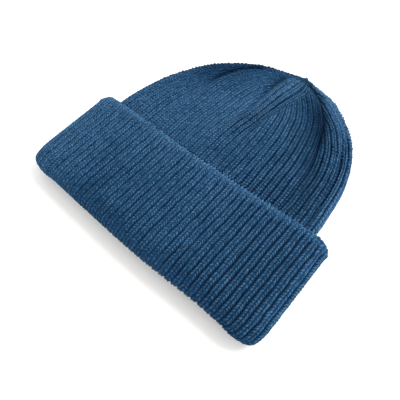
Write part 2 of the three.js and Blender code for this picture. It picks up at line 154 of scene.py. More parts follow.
# Pitch of the ribs on the cuff, least pitch on the crown and how softly it is kept, least width of a rib,
# last share of a rib before the next one, and what counts as far from a decrease line
CUFF_PITCH = 5.5
LEAST_PITCH = 4.4
PITCH_BLEND = 1.2
LEAST_RIB = 0.001
LAST_SHARE = 0.9999
FAR = 9.0

# Quarters in their order round the hat: decrease line, and direction in which the ribs are counted
QUARTERS = ((RIGHT, 1), (BACK, -1), (BACK, 1), (LEFT, -1))
LEFT_QUARTER = 3
FRONT_QUARTERS = (LEFT_QUARTER, 0)
BACK_QUARTERS = (1, 2)

# Cross-section of a rib: squareness, fullness of the shoulders, dip between the two legs of its stitches,
# and how far it stands out
RIB_SQUARE = 2.7
RIB_SHOULDER = 0.8
LEG_DIP = 0.3
LEG_DIP_SPREAD = 0.07
PROUD = 0.7

# V-shaped stitches: length of a row, rise of the V in rows, relief and its mean, sizes, slip in rows,
# sharpness of the crests, and how soon a stitch is at its full height up the rib
ROW = 2.1
V_RISE = 2.2
STITCH_RELIEF = 0.9
STITCH_MEAN = 0.3
STITCH_SIZES = (0.4, 1.6)
STITCH_SLIP = 0.35
CREST_POWER = 1.3
FULL_STITCH = 1.6
DOME_ROWS = round(DOME_LENGTH / ROW)
SIDE_ROWS = round((CUFF_DEPTH - EDGE_BOW - TURN_RADIUS) / ROW)
FOLD_ROWS = round(math.pi * TURN_RADIUS / ROW)
MOST_ROWS = 128

# Grooves: depth, how uneven it is and over how many rows, most painted shade of a deep one, and sideways
# sway with its waves from end to end
GROOVE_DEPTH = 1.8
DEPTH_SPREAD = 0.4
UNEVEN_ROWS = 5.0
MOST_SHADING = 1.2
SWAY = 0.5
SWAY_SIZES = (0.4, 1.0)
SWAY_WAVES = (1.3, 2.9, 5.7)

# Place across from -1 to 1, depth of the grooves there as a share
CROWN_DEPTHS = np.array([
    (-1.0, 0.8), (-0.8, 0.65), (-0.5, 0.45), (-0.2, 0.5), (0.0, 0.7), (0.25, 0.8), (0.6, 1.15),
    (0.8, 1.6), (1.0, 1.2),
])
CUFF_DEPTHS = np.array([(-1.0, 0.85), (-0.5, 0.9), (0.0, 1.0), (0.5, 1.25), (0.85, 1.5), (1.0, 1.1)])

# Grooves of the crown: on broad ribs, at the tip, on ribs that end at a decrease line, on the strip and on
# the right side. A pair holds the place where something sets in and the place where it is full
FULL_PITCH = 0.9 * LEAST_PITCH
MOST_BREADTH = 2.0
TIP_DEPTH = 0.45
TIP_FADE = (1.0, 0.94)
CUT_RELIEF = 0.35
CUT_FADE = (-0.2, 1.4)
STRIP_DEPTH = 2.4
STRIP_ROUND = 3.2
STRIP_SIDE = (STRIP_RIBS + 0.6, STRIP_RIBS + 0.3)
STRIP_UP = (0.2, 0.5)
SIDE_GROOVES = 0.55
SIDE_ACROSS = (0.72, 0.94)
SIDE_UP = (0.2, 0.5)

# Rounder ribs on the right and calmer, fuller ones at both sides
CROWN_ROUND = 2.6
CUFF_ROUND = 2.2
ROUND_START = (0.1, 0.7)
ROUND_END = (1.0, 0.85)
SIDE_CALM = 0.35
CALM_ACROSS = (0.84, 0.98)
FULL_SIDE = 0.6

# Grooves and stitches of the cuff: shallow at the edge, half as deep round the rim fold, and a beaded edge
EDGE_DEPTH = 0.25
EDGE_FADE = (3.0, 0.4)
FOLD_DEPTH = 0.5
FOLD_DEPTH_FADE = (SIDE_ROWS - 3.0, SIDE_ROWS + 1.5)
FOLD_CALM = 0.45
FOLD_CALM_FADE = (SIDE_ROWS - 3.0, SIDE_ROWS + 1.0)
EDGE_BEAD = 0.7
BEAD_START = (-1.0, -0.5)
BEAD_END = (1.6, 0.6)
BEAD_DIP = 0.55
FLOOR_CLEARANCE = 0.05

# Painted light and painted shade on the crown's upper side: painted shade in the dents, painted light on
# the raised strip and in the middle, painted shade in the valley, towards the tip and near the left side,
# and a painted highlight along the right side. The shade of a dent is for each mm of its depth and fades
# towards the floor, and the middle has its place across and up with the spread of each
CREASE_SHADE = 0.2
RAISED_PAINTED_LIGHT = 0.4
DENT_SHADE_FADE = (0.0, 0.3)
MIDDLE_PAINTED_LIGHT = 0.26
MIDDLE_PLACE = (0.01, 0.45)
MIDDLE_SPREAD = (0.27, 0.28)
TIP_SHADE = 0.36
TIP_RIGHT_SHADE = 0.5
TIP_RIGHT_ACROSS = (0.12, 0.3)
TIP_UP = (0.35, 0.75)
SIDE_PAINTED_HIGHLIGHT = 0.42
SIDE_TIP_PAINTED_HIGHLIGHT = 0.6
SIDE_TIP_UP = (0.4, 0.75)
VALLEY_SHADE = 0.06
VALLEY_START = (0.44, 0.62)
VALLEY_END = (0.88, 0.74)
LEFT_EDGE_SHADE = 0.2
LEFT_EDGE_UP = (0.08, 0.25)
LEFT_EDGE_ACROSS = (-0.6, -0.85)

# Further painted shade there, at the point and on the upper left: amount, and where it sets in and is full
# up the dome and across. A fade that is full before the left side is full everywhere
EVERYWHERE = (-3.0, -2.0)
UPPER_SHADES = (
    (0.35, (0.86, 0.97), EVERYWHERE),
    (0.2, (0.2, 0.5), (-0.25, -0.6)),
    (0.2, (0.35, 0.5), (-0.08, -0.3)),
)

# Painted light on the cuff's edge, painted shade in its rim fold and on its slope, and painted light on
# its left end
EDGE_PAINTED_LIGHT = 0.22
EDGE_LIGHT_ACROSS = (1.0, 0.6)
RIM_PAINTED_SHADE = -0.32
RIM_SHADE_FADE = (SIDE_ROWS - 6.0, SIDE_ROWS)
SLOPE_PAINTED_SHADE = -0.2
SLOPE_FADE = (0.1 * SIDE_ROWS, 0.6 * SIDE_ROWS)
SLOPE_LEFT = (-0.9, -0.4)
SLOPE_RIGHT = (0.6, 0.1)
SLOPE_RIGHT_SHARE = 0.45
LEFT_PAINTED_LIGHT = 0.14
LEFT_LIGHT_ACROSS = (-0.3, -0.9)

# Mesh: columns of a rib and rows of a stitch on the upper side and the underside, rows hidden under the
# cuff, steps round the cuff's edge and down its inner side, share of the cuff that the edge's round takes,
# last course before the tip, samples of a ring, place up the cuff where its ribs are spaced, step of a
# probe, and how closely points are joined
FRONT_COLUMNS = 12
BACK_COLUMNS = 6
FRONT_ROWS = 4
BACK_ROWS = 2
HIDDEN_ROWS = 3
EDGE_STEPS = 6
INNER_STEPS = 4
EDGE_SHARE = (WALL / 2) / (CUFF_DEPTH - TURN_RADIUS)
LAST_COURSE = 0.9995
RING_SAMPLES = 1440
SPACING_UP = 0.5
PROBE = 0.002
TINY = 1e-12
WELDS_PER_MM = 2000

# Lining: depth of its grooves, columns of a rib, course where it ends near the tip, joint of dome and band,
# courses over which its ribs fade, and rings of the dome, of the band and of the band's outer side
LINING_DEPTH = 1.0
LINING_COLUMNS = 6
LINING_TOP = 0.9
LINING_JOINT = -0.02
LINING_FADE = (0.9, 0.6)
DOME_RINGS = 30
BAND_RINGS = 40
OUTER_RINGS = 12

# Seeds of the random values. Each quarter of the crown has its own, from the crown's on
STITCH_SEED = 3
FRONT_CUFF_SEED = 5
BACK_CUFF_SEED = 6
DEPTH_SEED = 8
SLIP_SEED = 9
CROWN_SEED = 11

# Wool: yarn from the painted shade at the bottom of the grooves to the painted highlight on the crests of
# the stitches, and the soft shine of its fibres
WOOL_STOPS = ((0.0, (0.0, 0.008, 0.033)), (0.45, (0.014, 0.06, 0.131)), (1.0, (0.065, 0.148, 0.27)))
WOOL_ROUGHNESS = 0.95
WOOL_SPECULAR = 0.08
SHEEN = 0.35
SHEEN_ROUGHNESS = 0.35
SHEEN_TINT = (0.22, 0.56, 0.85, 1.0)

# Noises of the wool: scale for a metre, detail, roughness
JITTER_NOISE = (420.0, 2.0, 0.6)
GRAIN_NOISE = (1200.0, 3.0, 0.6)
CLOUD_NOISE = (35.0, 2.0, 0.6)
FIBRE_NOISE = (1600.0, 4.0, 0.7)
NOISE_RANGE = (0.3, 0.7)

# Least and most that the noises and stitches do: shift of a stitch in rows, its size and its painted
# highlight and shade, height that a crest adds to a rib in the painted groove shade, painted shade by
# relief, and shades of the fine grain and of broad clouds
JITTER = (-0.35, 0.35)
CHANCE_SIZES = (0.4, 1.6)
STITCH_SHADES = (0.48, 1.56)
CREST_RELIEF = (-0.12, 0.2)
RELIEF_SHADES = (0.0, 0.7)
GRAIN_SHADES = (0.25, 1.75)
CLOUD_SHADES = (0.88, 1.12)
STITCH_BUMP = 0.6
BUMP_STRENGTH = 0.8
BUMP_DISTANCE = 0.0005

# Floor and light
FLOOR_SIZE = 6.0
FLOOR_COLOUR = (0.98, 0.965, 0.945, 1.0)
FLOOR_ROUGHNESS = 0.9
SKY_COLOUR = (1.0, 1.0, 1.0, 1.0)
SKY_STRENGTH = 1.15
LAMP_PLACE = (0.5, 0.6, 0.95)
LAMP_SIZE = 0.6
LAMP_POWER = 12.0

# Camera at the photo's angle: place in mm, turn in degrees, focal length and frame in the photo's pixels
CAMERA_PLACE = np.array([126.02, -43.40, 264.38])
AZIMUTH = math.radians(46.91)
ELEVATION = math.radians(59.47)
ROLL = math.radians(-6.64)
FOCAL_PIXELS = 411.94
FRAME_PIXELS = 400.0
SENSOR = 36.0
CLIP_START = 0.01
CLIP_END = 20.0


def mix(low, high, share):
    """Value at a share of the way from low to high."""
    return low + (high - low) * share


def ease(low, high, value):
    """Smooth step from 0 at low to 1 at high, which may be the smaller of the two."""
    share = np.clip((value - low) / (high - low), 0.0, 1.0)
    return share * share * (3.0 - 2.0 * share)


def along(table, column, place):
    """Smooth value of a column at a place along a table."""
    keys, values = table[:, 0], table[:, column]
    last = len(keys) - 1
    row = np.clip(np.searchsorted(keys, place, side="left") - 1, 0, last - 1)
    before, after = np.maximum(row - 1, 0), np.minimum(row + 2, last)
    span = keys[row + 1] - keys[row]
    share = np.clip((place - keys[row]) / span, 0.0, 1.0)
    slope_from = (values[row + 1] - values[before]) / (keys[row + 1] - keys[before])
    slope_to = (values[after] - values[row]) / (keys[after] - keys[row])
    square, cube = share ** 2, share ** 3
    return (
        (2 * cube - 3 * square + 1) * values[row]
        + (cube - 2 * square + share) * span * slope_from
        + (3 * square - 2 * cube) * values[row + 1]
        + (cube - square) * span * slope_to
    )


def length_table(points):
    """Points of a line with the length up to each of them in the first column."""
    steps = np.linalg.norm(np.diff(points, axis=0), axis=1)
    return np.column_stack([np.concatenate([[0.0], np.cumsum(steps)]), points])


def corner_drop(distance, half, corner):
    """Drop of the rim or the edge towards a corner, at a distance from the middle."""
    drop, run = corner[0] * CUFF_DEPTH, corner[1] * CUFF_HALF
    into = np.maximum(0.0, (distance - half + run) / run)
    return drop * into ** 2


def section(angle, top, bottom, square):
    """Place across and height on the cross-section of a flattened tube."""
    across = np.sin(angle)
    rise = np.sqrt(np.maximum(0.0, 1.0 - np.abs(across) ** square))
    fold = mix(bottom, top, FOLD_SHARE)
    under = mix(fold, bottom, np.minimum(1.0, PRESS * rise))
    return across, np.where(np.cos(angle) > 0, mix(fold, top, rise), under)


def drawn_in(distance, run):
    """Share of the drawing in of a side at a distance from the end of the cuff."""
    near = np.maximum(0.0, 1 - distance / run)
    return 1 - np.sqrt(1 - DRAW_ROUND * near ** 2)


def cuff_point(depth, up, offset, angle):
    """Point of the cuff at a depth in its layers: up from 0 at an offset over the rim to 1 at the edge."""
    across, height = section(angle, HEIGHT - depth, depth, CUFF_SQUARE)
    half = CUFF_HALF - depth
    x = half * across
    distance = np.abs(x)
    right = across > 0
    rim_drop = np.where(
        right, corner_drop(distance, half, RIM_CORNER_RIGHT), corner_drop(distance, half, RIM_CORNER_LEFT)
    )
    edge_drop = np.where(
        right, corner_drop(distance, half, EDGE_CORNER_RIGHT), corner_drop(distance, half, EDGE_CORNER_LEFT)
    )
    front_set = CUFF_DEPTH * along(RIM_SET, 1, across)
    back_set = BACK_RIM_SET * (1 - across ** BACK_RIM_POWER)
    bare_rim = rim_drop + np.where(np.cos(angle) > 0, front_set, back_set)
    edge = CUFF_DEPTH - EDGE_BOW * (1 - across ** 2) - edge_drop
    y = mix(bare_rim + offset, edge, up)
    from_rim = np.maximum(0.0, y - bare_rim)
    rim_draw = np.where(right, RIM_DRAW_RIGHT, RIM_DRAW_LEFT) * drawn_in(from_rim, RIM_DRAW_RUN)
    edge_draw = EDGE_DRAW * drawn_in(np.maximum(0.0, edge - y), EDGE_DRAW_RUN)
    x = x - np.sign(across) * (rim_draw + edge_draw) * across ** DRAW_POWER
    x = x - np.where(right, 0.0, LEFT_BULGE * across ** BULGE_POWER)
    pressed = np.maximum(0.0, 1 - from_rim / RIM_PRESS_RUN) ** 2
    height = height * (1 - RIM_PRESS * pressed)
    return np.stack(np.broadcast_arrays(x, y, height), -1)


OUTLINE_TABLE = length_table(OUTLINE[:, ::-1] * (CROWN_HALF, DOME_LENGTH))
OUTLINE_TABLE[:, 0] /= OUTLINE_TABLE[-1, 0]


def outline_at(share):
    """Half width and height up the dome at a share of the outline's length."""
    share = np.clip(share, 0.0, 1.0)
    return along(OUTLINE_TABLE, 1, share), along(OUTLINE_TABLE, 2, share)


def smooth_line(line):
    """Points in mm along a smooth curve through the points of a dent's line."""
    points = np.array([(across * CROWN_HALF, CUFF_DEPTH + up * DOME_LENGTH) for across, up in line])
    table = length_table(points)
    places = np.linspace(0.0, table[-1, 0], DENT_STEPS + 1)
    return np.stack([along(table, 1, places), along(table, 2, places)], 1)


DENT_LINES = [(*sizes, smooth_line(line)) for *sizes, line in DENTS]


def fading(run, place):
    """Share from 0 at the end of a line to 1 at a run along it."""
    return ease(0.0, run, place) if run else 1.0


def dent_at(x, y):
    """Depth of all dents at a place of the crown's upper side. A dent fades towards its ends."""
    total = np.zeros(np.shape(x))
    for depth, spread, fade_from, fade_to, points in DENT_LINES:
        nearest, place = np.full(np.shape(x), np.inf), np.zeros(np.shape(x))
        for number, (start, end) in enumerate(zip(points[:-1], points[1:])):
            step = end - start
            forth = ((x - start[0]) * step[0] + (y - start[1]) * step[1]) / (step @ step)
            share = np.clip(forth, 0.0, 1.0)
            distance = np.hypot(x - start[0] - share * step[0], y - start[1] - share * step[1])
            place = np.where(distance < nearest, (number + share) / DENT_STEPS, place)
            nearest = np.minimum(nearest, distance)
        fade = fading(fade_from, place) * fading(fade_to, 1 - place)
        total += depth * HEIGHT * fade * np.exp(-((nearest / (spread * CROWN_HALF)) ** 2))
    return total


def dome_point(up, depth, angle):
    """Point of the dome at a depth under its outer face, up from 0 at the cuff's edge to 1 at the tip."""
    side_x, side_y = outline_at(up)
    next_x, next_y = outline_at(up + PROBE)
    last_x, last_y = outline_at(up - PROBE)
    run_x, run_y = next_x - last_x, next_y - last_y
    run = np.hypot(run_x, run_y)
    half = np.maximum(0.0, side_x - depth * run_y / run)
    side_y = side_y + depth * run_x / run
    top = along(DOME, DOME_TOP, up) * HEIGHT - depth
    bottom = np.maximum(0.0, along(DOME, DOME_BOTTOM, up)) * HEIGHT + depth
    across, height = section(angle, top, bottom, along(DOME, DOME_SQUARE, up))
    bend = (1 - np.sqrt(1 - COURSE_CURVE * across ** 2)) / (1 - math.sqrt(1 - COURSE_CURVE))
    y = mix(up * DOME_LENGTH, side_y, bend)
    lean = along(DOME, DOME_LEAN, np.clip(y / DOME_LENGTH, 0.0, 1.0)) * CROWN_HALF
    return np.stack(np.broadcast_arrays(lean + half * across, CUFF_DEPTH + y, height), -1)


def crown_point(course, depth, angle):
    """Point of the crown: course runs from -1 at the rim over 0 at the cuff edge to 1 at the tip."""
    dome = dome_point(np.maximum(0.0, course), depth, angle)
    band = cuff_point(WALL + LAYER_GAP + depth, np.minimum(course + 1, 1.0), TURN_RADIUS, angle)
    share = np.where(course < 0, ease(*BAND_FADE, course + 1), 1.0)
    point = mix(band, dome, np.broadcast_to(share, dome.shape[:-1])[..., None])
    upper = np.maximum(0.0, np.cos(angle))
    dent = dent_at(point[..., 0], point[..., 1])
    point[..., 2] -= dent * ease(*DENT_SIDE_FADE, upper) * ease(*DENT_EDGE_FADE, course)
    return point


def crown_face(course, angle):
    """Point of the crown's outer face."""
    return crown_point(course, 0.0, angle)


def crown_inside(course, angle):
    """Point of the crown's inner face."""
    return crown_point(course, WALL, angle)


def cuff_side(up, angle):
    """Point of the cuff's outer side without its edge and fold."""
    return cuff_point(0.0, up, 0.0, angle)


def cuff_face(way, angle):
    """Point of the cuff: way runs round the edge to 0, down the side to 1 and round the rim fold to 2."""
    edge_turn = math.pi * np.clip(-way, 0.0, 1.0)
    fold_turn = math.pi * np.clip(way - 1, 0.0, 1.0)
    up = (1 - EDGE_SHARE) * np.clip(1 - way, 0.0, 1.0) + EDGE_SHARE * np.sin(edge_turn)
    depth = WALL / 2 * (1 - np.cos(edge_turn)) + TURN_RADIUS * (1 - np.cos(fold_turn))
    return cuff_point(depth, up, TURN_RADIUS * (1 - np.sin(fold_turn)), angle)


def ring_lengths(surface, course):
    """Angles round a ring of a surface and the arc lengths to them."""
    angles = np.linspace(0.0, 2 * math.pi, RING_SAMPLES + 1)
    points = surface(np.full_like(angles, course), angles)
    return angles, length_table(points)[:, 0]


def outward(surface, course, angle):
    """Unit direction across a surface whose courses run upwards."""
    along_angle = surface(course, angle + PROBE) - surface(course, angle - PROBE)
    along_course = surface(course + PROBE, angle) - surface(course - PROBE, angle)
    normal = np.cross(along_angle, along_course)
    return normal / np.maximum(np.linalg.norm(normal, axis=-1, keepdims=True), TINY)


def rib_profile(rib):
    """Height of a rib over its groove, 0 to 1, with a dip between the two legs of its stitches."""
    across = np.abs(rib % 1.0 - 0.5)
    round_top = np.maximum(0.0, 1.0 - (2.0 * across) ** RIB_SQUARE) ** RIB_SHOULDER
    return round_top * (1.0 - LEG_DIP * np.exp(-((across / LEG_DIP_SPREAD) ** 2)))


def stitch_profile(rib, row):
    """Height of the V-shaped stitches of a rib over their mean, each of its own size."""
    across = np.abs(rib % 1.0 - 0.5)
    turn = row - V_RISE * across
    leg = np.sin(2 * math.pi * across) ** 2
    crest = (0.5 + 0.5 * np.cos(2 * math.pi * turn)) ** CREST_POWER
    sizes = np.random.default_rng(STITCH_SEED).uniform(*STITCH_SIZES, (2 * RIBS, MOST_ROWS))
    legs = np.floor(2 * rib).astype(int) % (2 * RIBS)
    rows = np.floor(turn + 0.5).astype(int) % MOST_ROWS
    return leg * crest * sizes[legs, rows] - STITCH_MEAN


def uneven(seed, rib, row):
    """Smooth value from 0 to 1 of its own at each groove and every few rows."""
    grid = np.random.default_rng(seed).uniform(0.0, 1.0, (RIBS, MOST_ROWS))
    column, course = rib % RIBS, (row / UNEVEN_ROWS) % MOST_ROWS
    left, low = np.floor(column).astype(int), np.floor(course).astype(int)
    across, up = ease(0.0, 1.0, column - left), ease(0.0, 1.0, course - low)
    right, high = (left + 1) % RIBS, (low + 1) % MOST_ROWS
    below = mix(grid[left, low], grid[right, low], across)
    above = mix(grid[left, high], grid[right, high], across)
    return mix(below, above, up)


def wander(seed, count, place):
    """Smooth uneven values, one column for each of count grooves, along a place from 0 to 1."""
    random = np.random.default_rng(seed)
    total = np.zeros((len(place), count))
    for waves in SWAY_WAVES:
        phase = random.uniform(0.0, 2 * math.pi, count)
        size = random.uniform(*SWAY_SIZES, count)
        total += size * np.sin(2 * math.pi * (waves * place[:, None]) + phase)
    return total / len(SWAY_WAVES)


def over_floor(points):
    """Points, none of which is under the floor."""
    points[..., 2] = np.maximum(points[..., 2], FLOOR_CLEARANCE)
    return points


def knitted(base, normal, rib, row, depth, calm, roundness, flatness=1.0):
    """Points of the knit over a base surface, painted groove shade from its rib heights, and slipped rows.
    """
    depth = depth * mix(1 - DEPTH_SPREAD, 1 + DEPTH_SPREAD, uneven(DEPTH_SEED, rib, row))
    row = row + STITCH_SLIP * mix(-1.0, 1.0, uneven(SLIP_SEED, 2 * rib, 2 * row))
    relief = rib_profile(rib) ** roundness * flatness
    stitch = calm * stitch_profile(rib, row) * np.clip(FULL_STITCH * relief, 0.0, 1.0)
    rise = PROUD + FULL_SIDE * (1 - calm) - depth * (1 - relief) + STITCH_RELIEF * stitch
    # Painted shade: the deeper a groove, the darker its bottom
    painted_groove_shade = 1 - (1 - relief) * np.clip(depth / GROOVE_DEPTH, 0.0, MOST_SHADING)
    return over_floor(base + normal * rise[..., None]), painted_groove_shade, row


def side_calm(place):
    """How high the stitches stand: fully in the middle, less at both sides."""
    return mix(1.0, SIDE_CALM, ease(*CALM_ACROSS, np.abs(place)))


def right_round(place, most):
    """Roundness of the ribs: the most on the right, 1 at the left and at the right end."""
    return mix(1.0, most, ease(*ROUND_START, place) * ease(*ROUND_END, place))


def softly_over(value, least):
    """Value kept over the least one, with a soft bend near it."""
    return 0.5 * (value + least + math.hypot(value - least, PITCH_BLEND))


def quarter_grooves(up, length, key, strip, sway):
    """Ribs of a quarter from its middle to its side: clipped low and high, true start, pitch and floor."""
    crease = along(DECREASES, key, up) * length
    strip_edge = min(strip, crease)
    inner, outer = CREASE_RIBS[key], QUARTER - STRIP_RIBS - CREASE_RIBS[key]
    inner_pitch = softly_over((crease - strip_edge) / inner, LEAST_PITCH)
    outer_pitch = softly_over((length - crease) / outer, LEAST_PITCH)
    strip_pitch = strip_edge / STRIP_RIBS
    start = [strip_pitch * rib for rib in range(STRIP_RIBS)]
    start += [crease - inner_pitch * rib for rib in range(inner, 0, -1)]
    start += [length - outer_pitch * rib for rib in range(outer, 0, -1)]
    start = np.array(start) + sway
    start[0] = 0.0
    floor = np.array([0.0] * STRIP_RIBS + [strip_edge] * inner + [crease] * outer)
    low = np.minimum(np.maximum.accumulate(np.maximum(start, floor)), length)
    high = np.append(low[1:], length)
    true_high = np.append(start[1:], length)
    true_high[STRIP_RIBS - 1] = low[STRIP_RIBS]
    true_high[STRIP_RIBS + inner - 1] = crease
    return low, high, start, np.maximum(true_high - start, LEAST_RIB), floor


def crown_columns(course, quarters, count, sways):
    """Angle, rib place, distance from a decrease line and rib width of the columns of two quarters."""
    up = max(0.0, course)
    angles, lengths = ring_lengths(crown_face, course)
    total = lengths[-1]
    right, back, left = (lengths[RING_SAMPLES * turn // 4] for turn in (1, 2, 3))
    shift = along(DECREASES, STRIP_SHIFT, up) * CROWN_HALF
    strip = along(DECREASES, STRIP, up) * CROWN_HALF
    spans = (
        (shift, right - shift),
        (back, back - right),
        (back, left - back),
        (total + shift, total + shift - left),
    )
    wide_lengths = np.concatenate([lengths[:-1] - total, lengths, lengths[1:] + total])
    wide_angles = np.concatenate([angles[:-1] - 2 * math.pi, angles, angles[1:] + 2 * math.pi])
    parts = []
    for quarter in quarters:
        (key, way), (origin, length) = QUARTERS[quarter], spans[quarter]
        low, high, start, pitch, floor = quarter_grooves(up, length, key, strip, sways[quarter])
        steps = np.arange(count) / count
        place = np.append((low[:, None] + (high - low)[:, None] * steps).ravel(), length)
        share = (place[:-1] - np.repeat(start, count)) / np.repeat(pitch, count)
        whole = np.repeat(np.arange(QUARTER), count)
        rib = np.append(whole + np.clip(share, 0.0, LAST_SHARE), QUARTER)
        cut = np.append(place[:-1] - np.repeat(floor, count), FAR)
        cut[:STRIP_RIBS * count] = FAR
        width = np.append(np.repeat(high - low, count), LEAST_PITCH)
        angle = np.interp(origin + way * place, wide_lengths, wide_angles)
        if quarter == LEFT_QUARTER:
            angle = angle - 2 * math.pi
        parts.append([column[::way] for column in (angle, rib, cut, width)])
    return [np.concatenate([first[:-1], second]) for first, second in zip(*parts)]


def split_faces(points, faces):
    """Triangles of four-cornered faces, cut along the shorter diagonal, without the empty ones."""
    rising = np.linalg.norm(points[faces[:, 0]] - points[faces[:, 2]], axis=1)
    falling = np.linalg.norm(points[faces[:, 1]] - points[faces[:, 3]], axis=1)
    rises = (rising <= falling)[:, None]
    triangles = np.concatenate([
        np.where(rises, faces[:, [0, 1, 2]], faces[:, [0, 1, 3]]),
        np.where(rises, faces[:, [0, 2, 3]], faces[:, [1, 2, 3]]),
    ])
    return triangles[(triangles != np.roll(triangles, 1, axis=1)).all(axis=1)]


def to_piece(name, grid, values):
    """Piece over a grid of points, with named values at them. Points in one place are joined."""
    points = (grid + SHIFT).reshape(-1, 3)
    number = np.arange(len(points)).reshape(grid.shape[:2])
    corners = (number[:-1, :-1], number[:-1, 1:], number[1:, 1:], number[1:, :-1])
    faces = np.stack([corner.ravel() for corner in corners], 1)
    keys = np.round(points * WELDS_PER_MM).astype(np.int64)
    _, first, number = np.unique(keys, axis=0, return_index=True, return_inverse=True)
    points = points[first]
    triangles = split_faces(points, number.reshape(-1)[faces])
    mesh = bpy.data.meshes.new(name)
    mesh.vertices.add(len(points))
    mesh.vertices.foreach_set("co", (points * MM).astype(np.float32).ravel())
    mesh.loops.add(3 * len(triangles))
    mesh.loops.foreach_set("vertex_index", triangles.astype(np.int32).ravel())
    mesh.polygons.add(len(triangles))
    mesh.polygons.foreach_set("loop_start", np.arange(0, 3 * len(triangles), 3, dtype=np.int32))
    mesh.polygons.foreach_set("use_smooth", np.ones(len(triangles), dtype=bool))
    mesh.update(calc_edges=True)
    for key, value in values.items():
        data = mesh.attributes.new(key, "FLOAT", "POINT").data
        data.foreach_set("value", value.ravel()[first].astype(np.float32))
    piece = bpy.data.objects.new(name, mesh)
    bpy.context.scene.collection.objects.link(piece)
    return piece


def crown_painted_light(base, course, angle, strip, side):
    """Painted light and painted shade on the crown's upper side, as a share added to the colour."""
    place = base[..., 0] / CROWN_HALF
    dent = dent_at(base[..., 0], base[..., 1])
    dent_shade = np.where(dent > 0, CREASE_SHADE, RAISED_PAINTED_LIGHT)
    painted_light = -dent_shade * dent * ease(*DENT_SHADE_FADE, base[..., 2] / HEIGHT)
    across_middle = (place - MIDDLE_PLACE[0]) / MIDDLE_SPREAD[0]
    up_middle = (course - MIDDLE_PLACE[1]) / MIDDLE_SPREAD[1]
    painted_light = painted_light + MIDDLE_PAINTED_LIGHT * np.exp(-(across_middle ** 2) - up_middle ** 2)
    painted_light = painted_light - VALLEY_SHADE * ease(*VALLEY_START, place) * ease(*VALLEY_END, place)
    tip_shade = mix(TIP_SHADE, TIP_RIGHT_SHADE, ease(*TIP_RIGHT_ACROSS, place))
    painted_light = painted_light - tip_shade * ease(*TIP_UP, course) * (1 - strip) * (1 - side)
    painted_light = painted_light + mix(SIDE_PAINTED_HIGHLIGHT, SIDE_TIP_PAINTED_HIGHLIGHT, ease(*SIDE_TIP_UP, course)) * side
    painted_light = painted_light - LEFT_EDGE_SHADE * ease(*LEFT_EDGE_UP, course) * ease(*LEFT_EDGE_ACROSS, np.sin(angle))
    for amount, up_fade, across_fade in UPPER_SHADES:
        painted_light = painted_light - amount * ease(*up_fade, course) * ease(*across_fade, place)
    return painted_light


def crown_half(name, front):
    """Upper or under side of the crown from below the cuff's edge to the tip."""
    count = FRONT_COLUMNS if front else BACK_COLUMNS
    per_row = FRONT_ROWS if front else BACK_ROWS
    quarters = FRONT_QUARTERS if front else BACK_QUARTERS
    steps = np.arange(-HIDDEN_ROWS * per_row, DOME_ROWS * per_row + 1)
    courses = np.minimum(steps / (DOME_ROWS * per_row), LAST_COURSE)
    sways = [SWAY * wander(CROWN_SEED + quarter, QUARTER, courses) for quarter in range(len(QUARTERS))]
    rings = [
        crown_columns(course, quarters, count, [sway[step] for sway in sways])
        for step, course in enumerate(courses)
    ]
    angle, rib, cut, width = (np.array(columns) for columns in zip(*rings))
    course = np.broadcast_to(courses[:, None], angle.shape)
    base = crown_face(course, angle)
    normal = outward(crown_face, course, angle)
    place = base[..., 0] / CROWN_HALF
    breadth = np.sqrt(np.clip(width / FULL_PITCH, 0.0, MOST_BREADTH))
    depth = GROOVE_DEPTH * breadth * mix(TIP_DEPTH, 1.0, ease(*TIP_FADE, course))
    roundness = 1.0
    painted_light = np.zeros(angle.shape)
    if front:
        strip = ease(*STRIP_SIDE, rib) * ease(*STRIP_UP, course)
        side = ease(*SIDE_ACROSS, np.sin(angle))
        side_depth = along(CROWN_DEPTHS, 1, place) * mix(1.0, SIDE_GROOVES, side * ease(*SIDE_UP, course))
        depth = depth * mix(side_depth, STRIP_DEPTH, strip)
        roundness = mix(right_round(place, CROWN_ROUND), STRIP_ROUND, strip)
        # Painted light and painted shade of each place on the upper side
        painted_light = crown_painted_light(base, course, angle, strip, side)
    flatness = mix(CUT_RELIEF, 1.0, ease(*CUT_FADE, cut))
    row = course * DOME_ROWS
    points, relief, row = knitted(base, normal, rib, row, depth, side_calm(place), roundness, flatness)
    return to_piece(name, points, {"relief": relief, "rib": rib, "row": row, "painted_light": painted_light})


def cuff_inner_rings(angle):
    """Rings of the cuff's plain inner side, from the end of the fold up to the edge."""
    steps = np.arange(INNER_STEPS + 1) / INNER_STEPS
    rings = [cuff_point(WALL, (1 - EDGE_SHARE) * (1 - step), TURN_RADIUS, angle) for step in steps]
    for turn in (math.pi / 2, math.pi):
        offset = TURN_RADIUS - LAYER_GAP / 2 * math.sin(turn)
        rings.append(cuff_point(TURN_RADIUS - LAYER_GAP / 2 * math.cos(turn), 0.0, offset, angle))
    return np.array(rings)[::-1]


def cuff_painted_light(rows, place, edge):
    """Painted light and painted shade on the cuff, as a share added to the colour."""
    painted_light = EDGE_PAINTED_LIGHT * edge * ease(*EDGE_LIGHT_ACROSS, place) + RIM_PAINTED_SHADE * ease(*RIM_SHADE_FADE, rows)
    slope = ease(*SLOPE_FADE, rows) * ease(*SLOPE_LEFT, place)
    painted_light = painted_light + SLOPE_PAINTED_SHADE * slope * mix(SLOPE_RIGHT_SHARE, 1.0, ease(*SLOPE_RIGHT, place))
    return painted_light + LEFT_PAINTED_LIGHT * ease(*LEFT_LIGHT_ACROSS, place)


